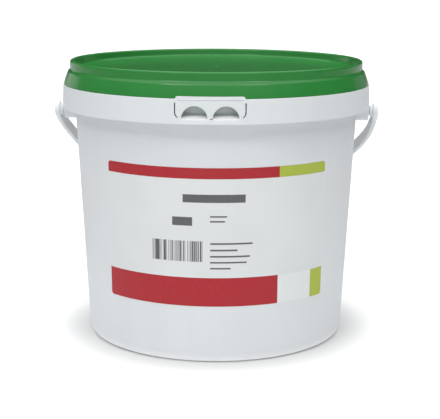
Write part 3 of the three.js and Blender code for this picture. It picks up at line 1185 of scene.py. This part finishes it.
coverFinish = {
    "paper": (0.740, 0.765, 0.764, 1),
    "tint": (0.710, 0.736, 0.742, 1),
    "slowCloud": (18, 2, 0.5),
    "shadeRange": (0.3, 0.7),
    "fibreCloud": (900, 4, 0.65),
    "fibreRange": (0.55, 0.8),
    "fibreShare": 0.25,
    "ink": (0.024, 0.024, 0.028, 1),
    "inkShare": 0.93,
    "inkCloud": (1400, 1, 0.5),
    "gloss": 0.55,
    "glossSwing": 0.14,
    "inkGloss": 0.08,
    "skin": 0.3,
    "skinDepth": 0.04 * mm,
}

skinSet = {
    "grainCloud": (1900, 2, 0.6),
    "waveCloud": (160, 1, 0.4),
    "depth": 0.04 * mm,
}

# generic marks on the cover label: left, right, low and high edge, in mm from its middle and the floor
markSet = {
    "heading": (-23.3, 19.2, 114.8, 120.4),
    "amount": (-30.7, -16.8, 98.6, 104.6),
    "lines": [(-4.7, 6.7, 104.6, 105.7), (-4.7, 5.4, 101.2, 102.3)],
    "notes": [(-4.6, 24.4, 85.6, 86.8), (-4.6, 14.0, 81.0, 82.2), (-4.6, 22.6, 76.6, 77.8),
              (-4.6, 20.4, 72.4, 73.5), (-4.6, 9.4, 68.2, 69.3)],
    "bars": (-45.2, -9.8, 73.4, 87.9),
    "barStep": 0.36,
    "barChance": 0.46,  # share of the upright strips that stay bare
}


# fine moulded skin that every plastic part shares: tiny grain over a slow unevenness
def mouldedSkin(paint, place, strength):
    grain = paint.cloud(place, *skinSet["grainCloud"])
    wave = paint.cloud(place, *skinSet["waveCloud"])
    return paint.bumped(grain * 0.35 + wave * 0.65, strength, skinSet["depth"])


# the finish's gloss, which swings a little from place to place
def unevenGloss(paint, place, finish):
    return finish["gloss"] + (paint.cloud(place, *finish["glossCloud"]) - 0.5) * finish["glossSwing"]


def between(value, low, high):
    return (value > low) * (value < high)


def pailPlastic():
    f, c = pailFinish, collarSet
    paint = Paint("pailPlastic")
    place = paint.stretched()
    height = paint.axis(place, "Z")
    reach = paint.length(paint.stretched((1, 1, 0)))

    slow = paint.cloud(place, *f["slowCloud"])
    flow = paint.cloud(paint.stretched((1, 1, 0.12)), *f["flowCloud"])
    colour = paint.mixed(paint.ramped(slow * 0.6 + flow * 0.4, *f["shadeRange"]), f["white"], f["shade"])
    nearFoot = 1 - paint.ramped(height, 0.0, f["scuffHeight"])
    scratches = paint.cloud(paint.stretched((1, 1, 9)), *f["scuffCloud"])
    scuff = nearFoot * paint.ramped(scratches, *f["scuffRange"]) * f["scuffShare"]
    colour = paint.mixed(scuff, colour, f["scuff"])

    inCollar = paint.ramped(height, c["shelf"] + 0.6 * mm, c["shelf"] + 1.2 * mm)
    # painted shade: the neck behind the finger holes is painted darker and greener
    inNeck = inCollar * between(reach, wallSet["topRadius"] + 1 * mm, f["neckReach"])
    # painted light: the floor under the finger holes and the foot are painted paler
    overFloor = height < tabSet["fingerLow"] + 2 * mm
    inGutter = inCollar * overFloor * between(reach, f["neckReach"], collarRadius - c["edge"])
    atFoot = 1 - paint.ramped(height, *f["glowFoot"])
    colour = paint.mixed(inNeck, colour, f["depth"])
    colour = paint.mixed(paint.clamped(inGutter + atFoot * f["glowShare"]), colour, f["glow"])

    gloss = unevenGloss(paint, place, f) + scuff * 0.3
    skin = mouldedSkin(paint, place, f["skin"])
    return paint.finished({"Base Color": colour, "Roughness": gloss, "Normal": skin})


def lidPlastic():
    f = lidFinish
    paint = Paint("lidPlastic")
    place = paint.stretched()
    slow = paint.cloud(place, *f["slowCloud"])
    colour = paint.mixed(paint.ramped(slow, *f["shadeRange"]), f["green"], f["deep"])
    scratches = paint.cloud(paint.stretched((1, 7, 1)), *f["rubCloud"])
    rub = paint.ramped(scratches, *f["rubRange"]) * f["rubShare"]
    return paint.finished({
        "Base Color": colour,
        "Roughness": unevenGloss(paint, place, f) + rub,
        "Normal": mouldedSkin(paint, place, f["skin"]),
        "Specular IOR Level": f["shine"],
    })


def handlePlastic():
    f = handleFinish
    paint = Paint("handlePlastic")
    place = paint.stretched()
    streaks = paint.cloud(paint.stretched((0.25, 1, 1)), *f["streakCloud"])
    colour = paint.mixed(paint.ramped(streaks, *f["shadeRange"]), f["white"], f["shade"])
    gloss = unevenGloss(paint, place, f)
    skin = mouldedSkin(paint, place, f["skin"])
    return paint.finished({"Base Color": colour, "Roughness": gloss, "Normal": skin})


# places on a label's flat size, in metres: along the wall from its middle, and up from the floor
def labelPlace(paint, sizes):
    flat = paint.add("ShaderNodeTexCoord", {}, {}, "UV")
    along = (paint.axis(flat, "X") - 0.5) * (2 * sizes["half"])
    up = paint.axis(flat, "Y") * (sizes["high"] - sizes["low"]) + sizes["low"]
    return along, up


def labelPrint():
    f = printFinish
    paint = Paint("labelPrint")
    along, up = labelPlace(paint, labelSet)
    stripe = up > f["stripeLow"]
    band = up < f["bandTop"]
    limePart = paint.clamped(stripe * (along > f["split"]) + band * (along > f["bareStop"]))
    redPart = paint.clamped(stripe * (along < f["split"]) + band * (along < f["bareStart"]))
    place = paint.stretched()
    specks = paint.ramped(paint.cloud(place, *f["speckCloud"]), *f["speckRange"])
    colour = paint.mixed(redPart, f["white"], f["red"])
    colour = paint.mixed(limePart, colour, f["lime"])
    colour = paint.mixed(specks * f["speckShare"], colour, f["white"])
    fibres = paint.cloud(paint.stretched((1, 1, 2.5)), *f["fibreCloud"])
    return paint.finished({
        "Base Color": colour,
        "Roughness": unevenGloss(paint, place, f),
        "Normal": paint.bumped(fibres, f["skin"], f["skinDepth"]),
        "Specular IOR Level": f["shine"],
    })


def coverPaper():
    f, m = coverFinish, markSet
    paint = Paint("coverPaper")
    along, up = labelPlace(paint, coverSet)

    def block(edges):
        left, right, low, high = (edge * mm for edge in edges)
        return between(along, left, right) * between(up, low, high)

    marks = block(m["heading"])
    for edges in [m["amount"], *m["lines"], *m["notes"]]:
        marks = marks + block(edges)
    cells = paint.add("ShaderNodeMath", {"operation": "FLOOR"}, {0: along / (m["barStep"] * mm)})
    chance = paint.add("ShaderNodeTexWhiteNoise", {"noise_dimensions": "1D"}, {"W": cells}, "Value")
    marks = marks + block(m["bars"]) * (chance > m["barChance"])
    streaked = paint.add("ShaderNodeCombineXYZ", {}, {0: along, 1: up * 0.02})
    marks = paint.clamped(marks) * (0.9 + 0.1 * paint.cloud(streaked, *f["inkCloud"]))

    slow = paint.cloud(paint.stretched(), *f["slowCloud"])
    fibres = paint.cloud(paint.stretched((1, 1, 2.2)), *f["fibreCloud"])
    colour = paint.mixed(paint.ramped(slow, *f["shadeRange"]), f["paper"], f["tint"])
    colour = paint.mixed(paint.ramped(fibres, *f["fibreRange"]) * f["fibreShare"], colour, f["tint"])
    colour = paint.mixed(marks * f["inkShare"], colour, f["ink"])
    gloss = f["gloss"] + (fibres - 0.5) * f["glossSwing"] - marks * f["inkGloss"]
    skin = paint.bumped(fibres, f["skin"], f["skinDepth"])
    return paint.finished({"Base Color": colour, "Roughness": gloss, "Normal": skin})


def grey(level):
    return (level, level, level, 1)


floorSet = {
    "radius": 14.0,
    "segments": 96,
    "near": grey(0.66),
    "far": grey(1.0),
    "nearRange": (0.088, 0.132),  # metres from the pail's axis over which the painted contact shadow fades out, as below
    "cloud": (3, 3, 0.5),
    "dark": grey(0),
    "glow": grey(0.08),
    "glowRange": (0.5, 2.4),
    "bounce": grey(0.78),  # what the floor sends back in front of the pail
    "sideBounce": grey(0.54),  # and from beside and behind it
    "besideRange": (0.015, 0.16),  # of the distance squared
    "behindRange": (0.0, 0.3),
    "underGlow": grey(0.2),  # so that no black line is left under the foot
    "underRange": (0.09, 0.105),
}


# the camera sees one colour and glow, and what the floor sends back to the pail is set apart
def floorPaint():
    f = floorSet
    paint = Paint("floorPaint")
    place = paint.stretched()
    reach = paint.length(place)
    across = paint.axis(place, "X")
    seen = paint.add("ShaderNodeLightPath", {}, {}, "Is Camera Ray")

    unevenness = (paint.cloud(place, *f["cloud"]) - 0.5) * 0.02
    # painted contact shadow: the floor is painted darker right round the pail's foot
    near = paint.clamped(paint.ramped(reach, *f["nearRange"]) + unevenness)
    beside = paint.ramped(across * across, *f["besideRange"])
    behind = paint.ramped(paint.axis(place, "Y"), *f["behindRange"])
    bounce = paint.mixed(paint.clamped(beside + behind), f["bounce"], f["sideBounce"])
    colour = paint.mixed(seen, bounce, paint.mixed(near, f["near"], f["far"]))

    glow = paint.mixed(paint.ramped(reach, *f["glowRange"]), f["dark"], f["glow"])
    under = paint.mixed(paint.ramped(reach, *f["underRange"]), f["underGlow"], f["dark"])
    return paint.finished({
        "Base Color": colour,
        "Roughness": 0.8,
        "Specular IOR Level": 0.2,
        "Emission Color": paint.mixed(seen, under, glow),
        "Emission Strength": 1,
    })


def dressed(piece, material, body, node=None):
    piece.data.materials.clear()
    piece.data.materials.append(material)
    if node:
        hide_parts(node)
    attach(piece, body)


def buildFloor():
    build = bmesh.new()
    f = floorSet
    bmesh.ops.create_circle(build, cap_ends=True, segments=f["segments"], radius=f["radius"])
    floor = finishedObject("floor", build)
    floor.data.materials.append(floorPaint())


handleSkin = handlePlastic()
gripRibs = buildRibs(handleSkin)
dressed(pailBody, pailPlastic(), "pail", "tub")
dressed(lidPiece, lidPlastic(), "pail", "lid")
dressed(handlePiece, handleSkin, "bail", "handle")
dressed(gripRibs, handleSkin, "bail")
dressed(baseLabel, labelPrint(), "pail", "base_label")
dressed(coverLabel, coverPaper(), "pail", "cover_label")
buildFloor()
print("finishes on, pieces riding on their bodies")
